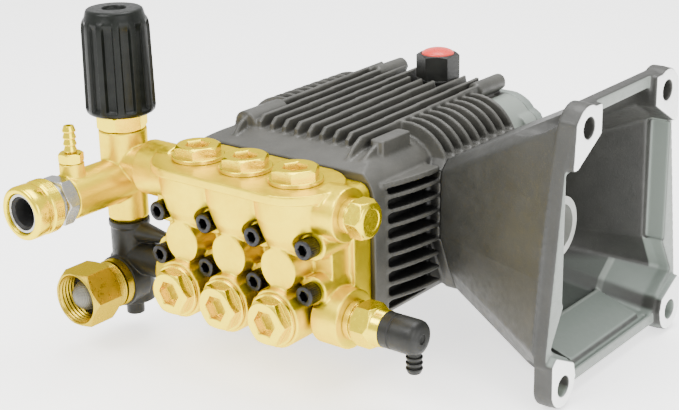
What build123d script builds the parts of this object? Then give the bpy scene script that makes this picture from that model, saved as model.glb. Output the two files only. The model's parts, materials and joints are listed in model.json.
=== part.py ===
from build123d import *
import math
import os

# Direct-drive triplex plunger pump for a pressure washer, in millimetres.
# Origin: centre of the hollow crankshaft's mouth, where the engine shaft goes in.
# +X points out of the pump towards the engine, the brass manifold faces -Y, and +Z is up.

# ---- Driving dimensions ----
CYLINDER_PITCH = 33.0
MIDDLE_X = -118.2  # the middle cylinder's place along the crankshaft
CYLINDER_X = [MIDDLE_X + CYLINDER_PITCH * k for k in (1, 0, -1)]
THROW = 3.0  # half of the plunger stroke
CRANK_PHASE = [90, 210, 330]

# Engine flange: two upper and two lower holes on one 165.1 mm bolt circle
FACE_X = 37.5
BOLT_CIRCLE_R = 82.55
UPPER_HOLE_ANGLE = 60
LOWER_HOLE_ANGLE = -45
FLANGE_HOLE_R = 5.25
LUG_R = 12.0
LUG_PROUD = 4.0
FLANGE_THICK = 7.0
FLANGE_BACK_X = FACE_X - LUG_PROUD - FLANGE_THICK
ROOT_SCREWS = [(-29.5, 21), (29.5, 21), (-17.5, -30), (17.5, -30)]
SEAL_SEAT_R = 25.0

# Hollow crankshaft, for a one inch engine shaft with a quarter inch key
SHAFT_BORE_R = 12.7
SHAFT_BORE_DEPTH = 52.0
SHAFT_R = 17.0
KEY_WIDTH = 6.35
KEYWAY_R = 15.3
RUNNING_GAP = 0.05

# Crankcase
CASE_HALF = 61.7  # half width along the crankshaft
CASE_FRONT_Y = -88.0
CASE_REAR_Y = 66.0
CASE_BOTTOM_Z = -40.0
CASE_TOP_Z = 47.0
FIN_TOP_Z = 54.0  # at the front of the panel, whose fins rise by FIN_RISE to the rear
FIN_RISE = 3.0
FIN_TIP_HALF = 68.7
CAVITY_HALF = 51.0
CAVITY_FRONT_Y = -46.0
CAVITY_BOTTOM_Z = -33.0
CAVITY_TOP_Z = 40.0
TOP_FIN_PITCH = 8.56
SHOULDER_FIN_PITCH = 8.25
SIDE_FIN_PITCH = 8.0
COVER_THICK = 7.0
COVER_HOLES = [(MIDDLE_X + side * 56, z) for side in (-1, 1) for z in (31, 0, -30)]
SIGHT_Z = -4.0
ROOT_X = MIDDLE_X + FIN_TIP_HALF  # face where the bell housing bolts on
FAR_FACE_X = MIDDLE_X - FIN_TIP_HALF
MAIN_BEARING_R = 31.0
JOURNAL_R = 17.5
END_BEARING_R = 26.0
END_JOURNAL_R = 12.5

# Connecting rods, crossheads and plungers
CORE_R = 11.0
ECCENTRIC_R = 14.0
BUSH_R = 19.0
ROD_EYE_R = 24.5
ROD_WIDTH = 12.0
WRIST_Y = -60.0
WRIST_R = 4.0
CROSSHEAD_R = 12.0
CROSSHEAD_Y = (-50.0, -74.0)
PLUNGER_R = 9.0
PLUNGER_TIP_Y = -113.0

# Brass manifold
HEAD_TOP_Z = 42.0
HEAD_BACK_Y = CASE_FRONT_Y
VALVE_Y = -114.5  # outlet valves stand upright on this line
GALLERY_Y = -112.0
OUTLET_Z = 29.5
INLET_Z = -25.4
PAD_FACE_Y = -131.0
BOSS_FACE_Y = -135.1
VALVE_BORE_R = 10.5
CHAMBER_R = 10.5
CHAMBER_END_Y = -120.5
PACKING_R = 14.0
SCREW_X = [MIDDLE_X + CYLINDER_PITCH * (k - 1.5) for k in range(4)]
SCREW_Z = (13.6, -10.7)
OUTLET_SEAT_Z = 12.0
INLET_SEAT_Y = -116.0
UNLOADER_PORT_X = -189.5
TEE_PORT_X = -178.0
SCREW_SEAT_Y = -123.3
SCREW_R = 3.0
SCREW_HOLE_R = 3.3

# Unloader valve, outlet coupler and inlet tee
UNLOADER_X = -209.5
OUTLET_TUBE_Z = 20.2
OUTLET_TUBE_END_Y = -157.0
INJECTOR_Y = -150.2
NUT_Z = 48.0
BONNET_R = 11.0
BONNET_TOP_Z = 92.0
SPRING_Z = (51.7, 84.0)
BARB_FOOT_Z = 38.4
COUPLER_R = 10.8
COUPLER_BORE_R = 7.4
COUPLER_BALL_RING = 9.1
BALL_Y = -180.0
SOCKET_R = 9.3
KNOB_Z = (57.5, 114.2)
KNOB_R = 19.0
NECK_R = 11.0
PISTON_R = 6.0
SEAT_R = 9.3
INLET_ARM_Z = -38.5
NUT_FRONT_Y = -156.0
NUT_REAR_Y = -129.0
TEE_FACE_Y = -124.0
HOSE_THREAD_R = 12.62
NIPPLE_R = 10.5

# Thermal relief valve, gallery plug and oil cap
RELIEF_X = -52.0
ELBOW_X = (-36.0, -10.5)
ELBOW_R = 9.2
RELIEF_BARB_X = -15.5
PLUG_X = -54.0
OIL_CAP_X = MIDDLE_X + 4.0
OIL_CAP_Y = 52.0

os.makedirs("parts", exist_ok=True)


# ---- Shared forms ----
def x_plane(x):
    """Plane across X: sketch coordinates are (y, z), and an extrusion runs towards +X."""
    return Plane.YZ.offset(x)


def y_plane(y):
    """Plane across Y: sketch coordinates are (x, z), and an extrusion runs towards -Y."""
    return Plane.XZ.offset(-y)


def z_plane(z):
    """Plane across Z: sketch coordinates are (x, y), and an extrusion runs towards +Z."""
    return Plane.XY.offset(z)


def bar(plane, centre, radius, length, mode=Mode.ADD):
    """A round bar or a round hole, from a plane along its normal."""
    with BuildSketch(plane) as disc:
        with Locations(centre):
            Circle(radius)
    extrude(disc.sketch, amount=length, mode=mode)


def hexagon(plane, centre, across_flats, length, turn=0, mode=Mode.ADD):
    """A hexagonal prism, from a plane along its normal."""
    with BuildSketch(plane) as outline:
        with Locations(centre):
            RegularPolygon(across_flats / 2, 6, major_radius=False, rotation=turn)
    extrude(outline.sketch, amount=length, mode=mode)


def slab(plane, centre, width, height, length, corner=0.0, mode=Mode.ADD):
    """A rectangular prism with round corners, from a plane along its normal."""
    with BuildSketch(plane) as outline:
        with Locations(centre):
            if corner > 0:
                RectangleRounded(width, height, corner)
            else:
                Rectangle(width, height)
    extrude(outline.sketch, amount=length, mode=mode)


def turned(origin, direction, outline, mode=Mode.ADD):
    """A turned form: outline is a closed list of (radius, distance along the axis)."""
    along = Vector(*direction)
    radial = Vector(0, 0, 1) if abs(along.Z) < 0.5 else Vector(1, 0, 0)
    half_section = Plane(origin=origin, x_dir=radial, z_dir=radial.cross(along))
    with BuildSketch(half_section) as profile:
        with BuildLine():
            Polyline(*outline, close=True)
        make_face()
    revolve(profile.sketch, axis=Axis(origin, direction), mode=mode)


def barb(origin, direction, root_r, tip_r, start, ridges, pitch, bore_r):
    """A hose barb along an axis: ridges that rise towards the body and a bore through them."""
    outline = [(bore_r, start - 2), (root_r, start - 2), (root_r, start)]
    for k in range(ridges):
        foot = start + pitch * k
        outline += [(tip_r, foot + 0.2 * pitch), (root_r, foot + pitch)]
    outline += [(bore_r, start + pitch * ridges)]
    turned(origin, direction, outline)


def socket_screw(plane, centre, shank_r, head_r, head_length, shank_length, key):
    """A socket-head screw whose head stands on a plane and whose shank goes behind it."""
    bar(plane, centre, head_r, head_length)
    bar(plane, centre, shank_r, -shank_length)
    with BuildSketch(plane.offset(head_length)) as recess:
        with Locations(centre):
            RegularPolygon(key / 2, 6, major_radius=False)
    extrude(recess.sketch, amount=-0.6 * head_length, mode=Mode.SUBTRACT)


def coil(origin, direction, mean_r, wire_r, start, length, turns):
    """A compression spring along an axis."""
    foot = Vector(*origin) + Vector(*direction) * start
    with BuildLine() as path:
        Helix(pitch=length / turns, height=length, radius=mean_r, center=foot, direction=direction)
    with BuildSketch(Plane(origin=path.line @ 0, z_dir=path.line % 0)) as wire:
        Circle(wire_r)
    sweep(wire.sketch, path=path.line, is_frenet=True)


def polar(radius, degrees):
    """The point at an angle on a circle about the origin of a sketch."""
    return (radius * math.cos(math.radians(degrees)), radius * math.sin(math.radians(degrees)))


UPPER_HOLE = polar(BOLT_CIRCLE_R, UPPER_HOLE_ANGLE)
LOWER_HOLE = polar(BOLT_CIRCLE_R, LOWER_HOLE_ANGLE)
FLANGE_HOLES = [(side * y, z) for side in (-1, 1) for y, z in (UPPER_HOLE, LOWER_HOLE)]

# Half outlines of the bell, as (y, z) from the top round to the bottom: at its root and its flange
ROOT_HALF = [(34, 38), (40, 32), (41, -2), (32, -24), (24, -40)]
MOUTH_HALF = [(47, 78), (53, 73), (66.5, -2), (72, -38), (56, -61)]
ROOT_INSIDE_HALF = [(14, 34), (29, 31), (34, 27), (35, -15), (27, -22), (23.5, -29), (18, -34.8)]
MOUTH_INSIDE_HALF = [(28, 75), (28.5, 65), (51, 53), (53, -17), (65, -38), (48, -48), (45, -57)]

# Machined lug faces round the flange's holes, as (y, z)
UPPER_LUG = [(28.5, 81.5), (28.5, 65.5), (50.5, 52.5), (55.5, 52.5), (53.6, 76), (48, 81.5)]
LOWER_LUG = [(46, -57), (48, -49), (66, -40), (70.3, -44), (70, -58), (48, -63)]


def mirrored(half):
    """A closed outline that is the same on both sides of y = 0, from its +y half."""
    return half + [(-y, z) for y, z in reversed(half)]


def outline_face(plane, points, corner):
    """A face on a plane from a closed outline with round corners."""
    with BuildSketch(plane) as face:
        with BuildLine():
            Polyline(*points, close=True)
        make_face()
        fillet(face.vertices(), radius=corner)
    return face.sketch


def crank_point(cylinder, radius, turn=0.0):
    """A point at a radius from the shaft's axis, at one cylinder's crank angle."""
    return polar(radius, CRANK_PHASE[cylinder] + turn)


def stroke(cylinder):
    """How far along Y a cylinder's plunger stands from mid-stroke with the shaft at rest."""
    return THROW * math.cos(math.radians(CRANK_PHASE[cylinder]))


def flange_outline(plane):
    """The flange's face: a skin round four lugs, drawn in between the two lower ones."""
    with BuildSketch(plane) as face:
        with BuildLine():
            Polyline(*mirrored([(44, 82), (53, 77), (71, -45), (60, -64)]), close=True)
        make_face()
        with Locations(*FLANGE_HOLES):
            Circle(LUG_R)
    return face.sketch


# ---- Crankcase ----
def case_x(offset):
    """A place across the crankcase, measured from the middle cylinder."""
    return MIDDLE_X + offset


def case_outline(plane):
    """The crankcase's section across Y: round shoulders over a box."""
    with BuildSketch(plane) as section:
        with Locations((MIDDLE_X, (CASE_TOP_Z + CASE_BOTTOM_Z) / 2)):
            Rectangle(2 * CASE_HALF, CASE_TOP_Z - CASE_BOTTOM_Z)
        fillet(section.vertices().group_by(Axis.Y)[-1], radius=20)
        fillet(section.vertices().group_by(Axis.Y)[0], radius=9)
    return section.sketch


def top_fin(x, front, rear):
    """One cooling fin along Y on the crankcase's top panel."""
    half_thick = 1.3
    with BuildSketch(x_plane(x - half_thick)) as side:
        with BuildLine():
            Polyline(*front, (rear - 3, FIN_TOP_Z + FIN_RISE), (rear, CASE_TOP_Z - 0.5), close=True)
        make_face()
    extrude(side.sketch, amount=2 * half_thick)


def shoulder_fin(y, side):
    """One curved cooling fin down the shoulder, in a plane across Y."""
    half_thick = 1.1
    with BuildSketch(y_plane(y + half_thick)) as face:
        with BuildLine():
            panel_edge = (case_x(side * 40), FIN_TOP_Z)
            belly = (case_x(side * 59), 49.5)
            foot = (case_x(side * FIN_TIP_HALF), 36.5)
            ThreePointArc(panel_edge, belly, foot)
            Polyline(foot, (case_x(side * 55), 36.5), (case_x(side * 40), 45), panel_edge)
        make_face()
    extrude(face.sketch, amount=2 * half_thick)


def side_fin(z, thick, side):
    """One level cooling fin on an end wall, in front of the bearing pad."""
    wall = CAVITY_HALF + 4
    with BuildSketch(z_plane(z - thick / 2)) as face:
        with BuildLine():
            nose = (case_x(side * (CASE_HALF - 0.7)), -81)
            tail = (case_x(side * FIN_TIP_HALF), -40)
            ThreePointArc(nose, (case_x(side * 65.6), -65), tail)
            Polyline(tail, (case_x(side * wall), -40), (case_x(side * wall), -81), nose)
        make_face()
    extrude(face.sketch, amount=thick)


with BuildPart() as crankcase:
    extrude(case_outline(y_plane(CASE_REAR_Y)), amount=CASE_REAR_Y - CASE_FRONT_Y)

    # The deck behind the manifold falls away towards the front
    with BuildSketch(x_plane(case_x(-FIN_TIP_HALF))):
        with BuildLine():
            Polyline((CASE_FRONT_Y - 1, 42.2), (-70, CASE_TOP_Z), (-70, 60), (CASE_FRONT_Y - 1, 60), close=True)
        make_face()
    extrude(amount=2 * FIN_TIP_HALF, mode=Mode.SUBTRACT)

    # Pads for the bell housing and the far bearing cover
    with BuildSketch(x_plane(case_x(CASE_HALF) - 1)):
        add(outline_face(Plane.XY, mirrored(ROOT_HALF), 5))
    extrude(amount=FIN_TIP_HALF - CASE_HALF + 1)
    bar(x_plane(FAR_FACE_X), (0, 0), 36, FIN_TIP_HALF - CASE_HALF + 1)

    # Recesses between the end walls' fins, then the fins
    for side in (-1, 1):
        recess_x = case_x(side * (CASE_HALF + CAVITY_HALF + 6) / 2)
        slab(z_plane(-34), (recess_x, -59), CASE_HALF - CAVITY_HALF - 6, 34, 67, mode=Mode.SUBTRACT)
        side_fin(34.5, 3.0, side)
        for k in range(8):
            side_fin(28 - SIDE_FIN_PITCH * k, 2.3, side)
        for k in range(9):
            shoulder_fin(-33 + SHOULDER_FIN_PITCH * k, side)
    for k in range(10):
        if k in (0, 9):
            fin_front = [(-82, 43), (-76, 50), (-69, FIN_TOP_Z)]
        else:
            fin_front = [(-70, CASE_TOP_Z - 0.5), (-69, 51), (-65.5, FIN_TOP_Z)]
        fin_rear = 37.5 if k in (4, 5, 6) else 57
        top_fin(case_x(TOP_FIN_PITCH * (k - 4.5)), fin_front, fin_rear)

    # Casting bosses on the panel's corners and the filler's boss
    bar(y_plane(-40), (case_x(-39.5), 48), 7.4, 30)
    slab(z_plane(38), (case_x(47.3), -54.5), 8.5, 25, 15, 1.5)
    with BuildSketch(x_plane(case_x(46))):
        with BuildLine():
            Polyline((-84, 40), (-84, 41.5), (-77, 46.5), (-66, 52), (-66, 40), close=True)
        make_face()
    extrude(amount=2.6)
    for offset in (-32, 37.5):
        bar(y_plane(CASE_REAR_Y), (case_x(offset), 53.2), 4.8, 26)
    for side in (-1, 1):
        bar(y_plane(CASE_REAR_Y), (case_x(side * 56), 31), 8, 12)
    bar(z_plane(CASE_TOP_Z - 1), (OIL_CAP_X, OIL_CAP_Y), 13.5, 5)

    # Crank chamber, open at the rear, with the bearing seats
    chamber_height = CAVITY_TOP_Z - CAVITY_BOTTOM_Z
    slab(
        y_plane(CASE_REAR_Y),
        (MIDDLE_X, (CAVITY_TOP_Z + CAVITY_BOTTOM_Z) / 2),
        2 * CAVITY_HALF,
        chamber_height,
        CASE_REAR_Y - CAVITY_FRONT_Y,
        6,
        mode=Mode.SUBTRACT,
    )
    bar(x_plane(case_x(CAVITY_HALF) - 1), (0, 0), MAIN_BEARING_R, 30, mode=Mode.SUBTRACT)
    bar(x_plane(FAR_FACE_X), (0, 0), END_BEARING_R, 20, mode=Mode.SUBTRACT)

    # Crosshead guides and oil seal seats
    for x in CYLINDER_X:
        guide_r = CROSSHEAD_R + RUNNING_GAP
        bar(y_plane(CAVITY_FRONT_Y + 1), (x, 0), guide_r, 50, mode=Mode.SUBTRACT)
        bar(y_plane(-80), (x, 0), PACKING_R, 10, mode=Mode.SUBTRACT)

    # Tapped holes: manifold, bell housing, rear cover, far cover and filler
    for x in SCREW_X:
        for z in SCREW_Z:
            bar(y_plane(-68), (x, z), SCREW_R + 0.1, 25, mode=Mode.SUBTRACT)
    for hole in ROOT_SCREWS:
        bar(x_plane(ROOT_X - 14), hole, SCREW_R + 0.1, 20, mode=Mode.SUBTRACT)
    for hole in COVER_HOLES:
        bar(y_plane(CASE_REAR_Y + 1), hole, 2.6, 15, mode=Mode.SUBTRACT)
    for k in range(4):
        hole = polar(31, 45 + 90 * k)
        bar(x_plane(FAR_FACE_X - 1), hole, 2.6, 12, mode=Mode.SUBTRACT)
    bar(z_plane(30), (OIL_CAP_X, OIL_CAP_Y), 8, 40, mode=Mode.SUBTRACT)
crankcase.part.label = "crankcase"
export_step(crankcase.part, "parts/crankcase.step")


# ---- Bell housing and engine flange ----
with BuildPart() as bell_housing:
    root_face = outline_face(x_plane(ROOT_X), mirrored(ROOT_HALF), 5)
    mouth_face = outline_face(x_plane(FLANGE_BACK_X), mirrored(MOUTH_HALF), 5)
    loft(sections=[root_face, mouth_face])
    extrude(flange_outline(x_plane(FLANGE_BACK_X)), amount=FLANGE_THICK)

    # Room behind the flange for the heads of the engine's bolts
    for y, z in FLANGE_HOLES:
        bar(x_plane(FLANGE_BACK_X), (y, z), 9.5 if z > 0 else 8.0, -60, mode=Mode.SUBTRACT)

    # The hollow, from behind the root plate to the mouth
    root_inside = outline_face(x_plane(ROOT_X + 8.5), mirrored(ROOT_INSIDE_HALF), 2.5)
    mouth_inside = outline_face(x_plane(FLANGE_BACK_X), mirrored(MOUTH_INSIDE_HALF), 2.5)
    loft(sections=[root_inside, mouth_inside], mode=Mode.SUBTRACT)
    extrude(mouth_inside, amount=FLANGE_THICK + 1, mode=Mode.SUBTRACT)

    # Recess along both walls behind the rim, and the raised plate and gutter across the floor
    for side in (-1, 1):
        slab(x_plane(22), (side * 52, 17), 5.5, 68, 13, 1, mode=Mode.SUBTRACT)
    with BuildSketch(y_plane(36)):
        with BuildLine():
            Polyline((3, -52), (3, -46.4), (5, -46.6), (29, -54.8), (29, -60), close=True)
        make_face()
    extrude(amount=72)
    slab(x_plane(29.6), (0, -57), 84, 2.6, 2.6, mode=Mode.SUBTRACT)

    # Machined lugs that stand proud of the rim, and their bolt holes
    for side in (-1, 1):
        for lug in (UPPER_LUG, LOWER_LUG):
            lug_face = outline_face(x_plane(FLANGE_BACK_X), [(side * y, z) for y, z in lug], 1.5)
            extrude(lug_face, amount=FACE_X - FLANGE_BACK_X)
    for hole in FLANGE_HOLES:
        bar(x_plane(FLANGE_BACK_X), hole, LUG_R - 0.3, FACE_X - FLANGE_BACK_X)
    for hole in FLANGE_HOLES:
        bar(x_plane(FACE_X), hole, FLANGE_HOLE_R, -30, mode=Mode.SUBTRACT)

    # Root plate: shaft seal seat and screw holes
    bar(x_plane(ROOT_X), (0, 0), SEAL_SEAT_R, 12, mode=Mode.SUBTRACT)
    for hole in ROOT_SCREWS:
        bar(x_plane(ROOT_X), hole, SCREW_HOLE_R, 12, mode=Mode.SUBTRACT)
        bar(x_plane(ROOT_X + 8.5), hole, 5.2, 10, mode=Mode.SUBTRACT)
bell_housing.part.label = "bell_housing"
export_step(bell_housing.part, "parts/bell_housing.step")

with BuildPart() as bell_screws:
    for hole in ROOT_SCREWS:
        socket_screw(x_plane(ROOT_X + 8.5), hole, SCREW_R, 4.6, 5.0, 18.0, 5.0)
bell_screws.part.label = "bell_screws"
export_step(bell_screws.part, "parts/bell_screws.step")


# ---- Covers, seals and bearings ----
with BuildPart() as rear_cover:
    extrude(case_outline(y_plane(CASE_REAR_Y + COVER_THICK)), amount=COVER_THICK)
    for side in (-1, 1):
        bar(y_plane(CASE_REAR_Y + COVER_THICK), (case_x(side * 56), 31), 8, COVER_THICK)
    slab(y_plane(CASE_REAR_Y + COVER_THICK + 3), (MIDDLE_X, 2), 92, 62, 4, 8)
    slab(y_plane(CASE_REAR_Y + 4), (MIDDLE_X, 2), 86, 56, 5, 6, mode=Mode.SUBTRACT)
    for x, z in COVER_HOLES:
        bar(y_plane(CASE_REAR_Y + COVER_THICK + 1), (x, z), 2.8, COVER_THICK + 2, mode=Mode.SUBTRACT)
    bar(y_plane(CASE_REAR_Y + COVER_THICK + 4), (MIDDLE_X, SIGHT_Z), 9, 12, mode=Mode.SUBTRACT)
rear_cover.part.label = "rear_cover"
export_step(rear_cover.part, "parts/rear_cover.step")

with BuildPart() as sight_glass:
    bar(y_plane(CASE_REAR_Y + COVER_THICK + 6), (MIDDLE_X, SIGHT_Z), 11.5, 3)
    bar(y_plane(CASE_REAR_Y + COVER_THICK + 3), (MIDDLE_X, SIGHT_Z), 9, 6)
sight_glass.part.label = "sight_glass"
export_step(sight_glass.part, "parts/sight_glass.step")

with BuildPart() as side_cover:
    bar(x_plane(FAR_FACE_X - 5), (0, 0), 36, 5)
    bar(x_plane(FAR_FACE_X - 1), (0, 0), END_BEARING_R, 2.8)
    bar(x_plane(FAR_FACE_X - 6.5), (0, 0), 22, 2)
    for k in range(4):
        bar(x_plane(FAR_FACE_X - 6), polar(31, 45 + 90 * k), 2.8, 12, mode=Mode.SUBTRACT)
side_cover.part.label = "side_cover"
export_step(side_cover.part, "parts/side_cover.step")

with BuildPart() as cover_screws:
    for x, z in COVER_HOLES:
        socket_screw(y_plane(CASE_REAR_Y + COVER_THICK), (x, z), 2.5, 4.2, -4.5, -16.0, 4.0)
    for k in range(4):
        socket_screw(x_plane(FAR_FACE_X - 5), polar(31, 45 + 90 * k), 2.5, 4.2, -4.5, -12.0, 4.0)
cover_screws.part.label = "cover_screws"
export_step(cover_screws.part, "parts/cover_screws.step")


def ball_bearing(x, width, bore_r, outer_r, race, balls):
    """A ball bearing across X whose two races are equally thick."""
    turned((x, 0, 0), (1, 0, 0), [(bore_r, 0), (bore_r + race, 0), (bore_r + race, width), (bore_r, width)])
    turned((x, 0, 0), (1, 0, 0), [(outer_r - race, 0), (outer_r, 0), (outer_r, width), (outer_r - race, width)])
    gap = outer_r - bore_r - 2 * race
    with Locations(Location((x + width / 2, 0, 0), (0, 90, 0))):
        with PolarLocations((outer_r + bore_r) / 2, balls):
            Sphere(gap / 2 - 0.05)


with BuildPart() as main_bearing:
    ball_bearing(ROOT_X - 16.2, 16.0, JOURNAL_R + RUNNING_GAP, MAIN_BEARING_R, 4.2, 12)
main_bearing.part.label = "main_bearing"
export_step(main_bearing.part, "parts/main_bearing.step")

with BuildPart() as end_bearing:
    ball_bearing(FAR_FACE_X + 2, 14.0, END_JOURNAL_R + RUNNING_GAP, END_BEARING_R, 4.0, 10)
end_bearing.part.label = "end_bearing"
export_step(end_bearing.part, "parts/end_bearing.step")

with BuildPart() as shaft_seal:
    seal_bore = SHAFT_R + RUNNING_GAP
    seal_section = [(seal_bore, 2), (19, 0.4), (SEAL_SEAT_R, 0.4), (SEAL_SEAT_R, 8.4), (19, 8.4), (seal_bore, 6)]
    turned((ROOT_X, 0, 0), (1, 0, 0), seal_section)
shaft_seal.part.label = "shaft_seal"
export_step(shaft_seal.part, "parts/shaft_seal.step")

with BuildPart() as oil_seals:
    for x in CYLINDER_X:
        bore = PLUNGER_R + RUNNING_GAP
        turned((x, -80.3, 0), (0, -1, 0), [(bore, 1), (11, 0), (PACKING_R, 0), (PACKING_R, 7), (bore, 7)])
oil_seals.part.label = "oil_seals"
export_step(oil_seals.part, "parts/oil_seals.step")

with BuildPart() as packing_retainers:
    for x in CYLINDER_X:
        turned((x, HEAD_BACK_Y - 0.2, 0), (0, -1, 0), [(9.4, 0), (PACKING_R, 0), (PACKING_R, 5.8), (9.4, 5.8)])
packing_retainers.part.label = "packing_retainers"
export_step(packing_retainers.part, "parts/packing_retainers.step")

with BuildPart() as packings:
    for x in CYLINDER_X:
        bore = PLUNGER_R + RUNNING_GAP
        for start in (0, 5):
            ring = [(bore, 0), (PACKING_R, 0), (PACKING_R, 4.6), (12, 4.6), (11.5, 2.6), (11, 4.6), (bore, 4.6)]
            turned((x, HEAD_BACK_Y - 6 - start, 0), (0, -1, 0), ring)
packings.part.label = "packings"
export_step(packings.part, "parts/packings.step")


# ---- Brass manifold ----
with BuildPart() as manifold:
    # Core, and the stadium-shaped deck over the three outlet valves
    slab(y_plane(HEAD_BACK_Y), (MIDDLE_X, 1), 118, 74, 14, 6)
    slab(y_plane(HEAD_BACK_Y), (MIDDLE_X, 1), 112, 74, 28, 6)
    with BuildSketch(z_plane(HEAD_TOP_Z - 5)):
        with Locations((MIDDLE_X, VALVE_Y)):
            SlotCenterToCenter(2 * CYLINDER_PITCH, 50)
    extrude(amount=5)
    lobe = [(0, 7), (13.5, 7), (15.4, 9), (18.4, 16), (20.6, 25), (21.6, 38), (0, 38)]
    for x in CYLINDER_X:
        turned((x, VALVE_Y, 0), (0, 0, 1), lobe)
        bar(y_plane(-100), (x, 0), 11.2, -PAD_FACE_Y - 100)
        bar(y_plane(HEAD_BACK_Y), (x, INLET_Z), 15.5, HEAD_BACK_Y - BOSS_FACE_Y)
    slab(y_plane(-100), (MIDDLE_X, -31), 2 * CYLINDER_PITCH, 12, 28, 2)

    # Ports at both ends of the two galleries
    bar(x_plane(UNLOADER_PORT_X), (GALLERY_Y, OUTLET_Z), 15, case_x(-50) - UNLOADER_PORT_X)
    bar(x_plane(TEE_PORT_X), (GALLERY_Y, INLET_Z), 13.5, case_x(-50) - TEE_PORT_X)
    bar(x_plane(case_x(50)), (GALLERY_Y, OUTLET_Z), 14, PLUG_X - case_x(50))
    bar(x_plane(case_x(50)), (GALLERY_Y, INLET_Z), 15.5, RELIEF_X - case_x(50))

    # Screw bosses, each with a flat seat cut into the valve lobes above it
    for x in SCREW_X:
        for z in SCREW_Z:
            bar(y_plane(-100), (x, z), 8, -SCREW_SEAT_Y - 100)
            bar(y_plane(SCREW_SEAT_Y), (x, z), 7.2, 20, mode=Mode.SUBTRACT)

    # Galleries, cylinders and valve chambers
    gallery_length = RELIEF_X - UNLOADER_PORT_X + 2
    bar(x_plane(UNLOADER_PORT_X - 1), (GALLERY_Y, OUTLET_Z), 6.5, gallery_length, mode=Mode.SUBTRACT)
    bar(x_plane(TEE_PORT_X - 1), (GALLERY_Y, INLET_Z), 6, RELIEF_X - TEE_PORT_X + 2, mode=Mode.SUBTRACT)
    for x in CYLINDER_X:
        bar(y_plane(HEAD_BACK_Y), (x, 0), PACKING_R, 16, mode=Mode.SUBTRACT)
        bar(y_plane(HEAD_BACK_Y), (x, 0), CHAMBER_R, HEAD_BACK_Y - CHAMBER_END_Y, mode=Mode.SUBTRACT)
        bar(y_plane(CHAMBER_END_Y), (x, 0), 5.5, 4, mode=Mode.SUBTRACT)
        bar(z_plane(0), (x, VALVE_Y), 5.5, OUTLET_SEAT_Z, mode=Mode.SUBTRACT)
        bar(z_plane(OUTLET_SEAT_Z), (x, VALVE_Y), VALVE_BORE_R, 40, mode=Mode.SUBTRACT)
        bar(y_plane(INLET_SEAT_Y), (x, INLET_Z), VALVE_BORE_R, 30, mode=Mode.SUBTRACT)
        bar(y_plane(GALLERY_Y), (x, INLET_Z), 5.5, 8, mode=Mode.SUBTRACT)
        bar(z_plane(-20), (x, -122.2), 2.8, 20, mode=Mode.SUBTRACT)
    for x in SCREW_X:
        for z in SCREW_Z:
            bar(y_plane(HEAD_BACK_Y + 1), (x, z), SCREW_HOLE_R, 40, mode=Mode.SUBTRACT)
manifold.part.label = "manifold"
export_step(manifold.part, "parts/manifold.step")

with BuildPart() as head_screws:
    for x in SCREW_X:
        for z in SCREW_Z:
            socket_screw(y_plane(SCREW_SEAT_Y), (x, z), SCREW_R, 5.4, 8.0, 53.0, 5.0)
head_screws.part.label = "head_screws"
export_step(head_screws.part, "parts/head_screws.step")


def valve_cap(plane, centre, skirt):
    """A flanged hexagon cap with a socket in its head and a hollow skirt in the valve's bore."""
    bar(plane, centre, 14, 2.3)
    hexagon(plane.offset(2.3), centre, 22, 5.5)
    bar(plane, centre, VALVE_BORE_R, -skirt)
    bar(plane, centre, 8.2, -skirt, mode=Mode.SUBTRACT)
    hexagon(plane.offset(7.8), centre, 12, -6, mode=Mode.SUBTRACT)


with BuildPart() as valve_caps:
    for x in CYLINDER_X:
        valve_cap(z_plane(HEAD_TOP_Z), (x, VALVE_Y), 6.0)
        valve_cap(y_plane(BOSS_FACE_Y), (x, INLET_Z), 4.0)
valve_caps.part.label = "valve_caps"
export_step(valve_caps.part, "parts/valve_caps.step")

with BuildPart() as valve_seats:
    seat_ring = [(5.5, 0), (VALVE_BORE_R, 0), (VALVE_BORE_R, 3), (5.5, 3)]
    for x in CYLINDER_X:
        turned((x, VALVE_Y, OUTLET_SEAT_Z), (0, 0, 1), seat_ring)
        turned((x, INLET_SEAT_Y, INLET_Z), (0, -1, 0), seat_ring)
valve_seats.part.label = "valve_seats"
export_step(valve_seats.part, "parts/valve_seats.step")

with BuildPart() as valve_springs:
    for x in CYLINDER_X:
        coil((x, VALVE_Y, OUTLET_SEAT_Z + 3), (0, 0, 1), 5.0, 0.6, 4.8, 20.0, 5)
        coil((x, INLET_SEAT_Y - 3, INLET_Z), (0, -1, 0), 5.0, 0.6, 4.8, 9.8, 4)
valve_springs.part.label = "valve_springs"
export_step(valve_springs.part, "parts/valve_springs.step")


def poppet(plane, centre):
    """A check valve's poppet: a disc on the seat and a spigot inside the spring."""
    bar(plane, centre, 8.0, 2.0)
    bar(plane, centre, 3.5, 4.4)


for k, x in enumerate(CYLINDER_X, start=1):
    with BuildPart() as outlet_valve:
        poppet(z_plane(OUTLET_SEAT_Z + 3), (x, VALVE_Y))
    outlet_valve.part.label = f"outlet_valve_{k}"
    export_step(outlet_valve.part, f"parts/outlet_valve_{k}.step")

    with BuildPart() as inlet_valve:
        poppet(y_plane(INLET_SEAT_Y - 3), (x, INLET_Z))
    inlet_valve.part.label = f"inlet_valve_{k}"
    export_step(inlet_valve.part, f"parts/inlet_valve_{k}.step")

with BuildPart() as gallery_plug:
    hexagon(x_plane(PLUG_X + 4.6), (GALLERY_Y, OUTLET_Z), 18.6, 9.4)
    plug_head = [(0, 0), (10.9, 0), (10.9, 12), (8.3, 14), (0, 14)]
    turned((PLUG_X, GALLERY_Y, OUTLET_Z), (1, 0, 0), plug_head, mode=Mode.INTERSECT)
    bar(x_plane(PLUG_X), (GALLERY_Y, OUTLET_Z), 9.1, 5)
    bar(x_plane(PLUG_X - 8), (GALLERY_Y, OUTLET_Z), 6.5, 8)
gallery_plug.part.label = "gallery_plug"
export_step(gallery_plug.part, "parts/gallery_plug.step")


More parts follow.
